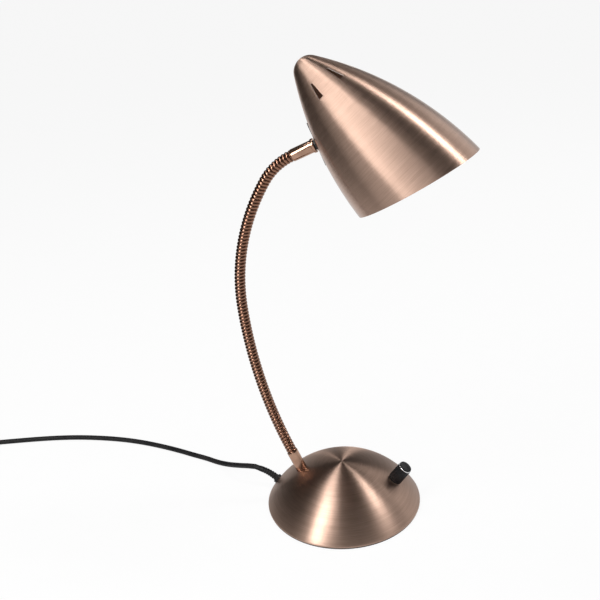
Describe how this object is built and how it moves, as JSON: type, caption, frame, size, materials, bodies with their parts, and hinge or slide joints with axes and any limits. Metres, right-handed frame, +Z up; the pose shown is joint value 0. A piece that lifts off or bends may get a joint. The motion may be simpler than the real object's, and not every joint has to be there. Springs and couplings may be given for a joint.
{
  "type": "desk lamp",
  "caption": "Copper-coloured desk lamp: a domed foot with a switch knob, a ribbed gooseneck and a bullet-shaped shade with vents and a slanted rim.",
  "frame": {"origin": "centre of the foot's underside, on the surface the lamp stands on", "axes": "+Z up; +X the way the lamp faces, from which the neck's plane is turned 12 degrees; +Y behind the lamp as the picture shows it, so the neck leans to -X and the shade reaches to +X"},
  "size_m": [0.6934, 0.2428, 0.429],
  "materials": {
    "copper": "brushed copper-coloured plating under clear lacquer",
    "steel": "zinc-plated steel",
    "iron": "cast or blackened iron",
    "brass": "plain brass",
    "bright_ring": "turned bright ring",
    "black_plastic": "black moulded plastic, half gloss",
    "cord_black": "black PVC cord sheath",
    "foam_pad": "black foam rubber pad",
    "porcelain": "white steatite",
    "white_plastic": "white polyamide",
    "opal_glass": "opal glass"
  },
  "bodies": {
    "base": {"base_shell": "copper", "foot_pad": "foam_pad", "base_plate": "steel", "base_weight": "iron", "centre_pillar": "steel", "centre_screw": "steel", "foot_ferrule": "copper", "foot_nipple": "steel", "foot_washer": "steel", "foot_nut": "steel", "switch_body": "black_plastic", "switch_nut": "steel", "cord_gland": "cord_black", "inlet_lead": "cord_black", "cord_clamp": "white_plastic", "clamp_screws": "steel", "terminal_block": "white_plastic", "base_wires": "cord_black", "neck_stretch_1": "copper", "neck_lead_1": "cord_black", "cord_run": "cord_black", "cord_coil": "cord_black", "coil_tie": "black_plastic", "plug_body": "black_plastic", "plug_pins": "steel"},
    "knob": {"knob_shaft": "steel", "knob_grip": "black_plastic", "knob_ring": "bright_ring", "knob_cap": "black_plastic"},
    "neck_2": {"neck_stretch_2": "copper", "neck_lead_2": "cord_black"},
    "neck_3": {"neck_stretch_3": "copper", "neck_lead_3": "cord_black"},
    "neck_4": {"neck_stretch_4": "copper", "neck_lead_4": "cord_black"},
    "neck_5": {"neck_stretch_5": "copper", "neck_lead_5": "cord_black"},
    "neck_6": {"neck_stretch_6": "copper", "neck_lead_6": "cord_black"},
    "neck_7": {"neck_stretch_7": "copper", "neck_lead_7": "cord_black"},
    "neck_8": {"neck_stretch_8": "copper", "neck_lead_8": "cord_black"},
    "head": {"neck_stretch_9": "copper", "neck_lead_9": "cord_black", "head_ferrule": "copper", "collar_nut": "copper", "joint_bar": "iron", "head_nipple": "iron", "shade": "copper", "holder_bracket": "steel", "head_nut": "steel", "lampholder": "porcelain", "thread_shell": "brass", "centre_contact": "brass", "holder_screws": "steel", "holder_lead": "cord_black", "bulb_glass": "opal_glass", "bulb_cap": "brass"}
  },
  "joints": [
    {"name": "knob_turn", "type": "hinge", "parent": "base", "child": "knob", "pos_m": [0.04926, -0.0132, 0.02871], "axis": [0.56, -0.1501, 0.8148], "range_deg": [0, 300]},
    {"name": "neck_bend_1", "type": "hinge", "parent": "base", "child": "neck_2", "pos_m": [-0.05949, 0.01264, 0.08759], "axis": [0.2079, 0.9781, 0], "range_deg": [-15, 15]},
    {"name": "neck_bend_2", "type": "hinge", "parent": "neck_2", "child": "neck_3", "pos_m": [-0.06906, 0.01468, 0.12147], "axis": [0.9491, -0.2017, 0.2417], "range_deg": [-15, 15]},
    {"name": "neck_bend_3", "type": "hinge", "parent": "neck_3", "child": "neck_4", "pos_m": [-0.07615, 0.01619, 0.15599], "axis": [0.2079, 0.9781, 0], "range_deg": [-15, 15]},
    {"name": "neck_bend_4", "type": "hinge", "parent": "neck_4", "child": "neck_5", "pos_m": [-0.08072, 0.01716, 0.19095], "axis": [0.9737, -0.207, 0.0955], "range_deg": [-15, 15]},
    {"name": "neck_bend_5", "type": "hinge", "parent": "neck_5", "child": "neck_6", "pos_m": [-0.08223, 0.01748, 0.22617], "axis": [0.2079, 0.9781, 0], "range_deg": [-15, 15]},
    {"name": "neck_bend_6", "type": "hinge", "parent": "neck_6", "child": "neck_7", "pos_m": [-0.07806, 0.01659, 0.26114], "axis": [0.9567, -0.2034, -0.2081], "range_deg": [-15, 15]},
    {"name": "neck_bend_7", "type": "hinge", "parent": "neck_7", "child": "neck_8", "pos_m": [-0.06794, 0.01444, 0.29482], "axis": [0.2079, 0.9781, 0], "range_deg": [-15, 15]},
    {"name": "neck_bend_8", "type": "hinge", "parent": "neck_8", "child": "head", "pos_m": [-0.0522, 0.0111, 0.32616], "axis": [0.8275, -0.1759, -0.5333], "range_deg": [-15, 15]}
  ]
}
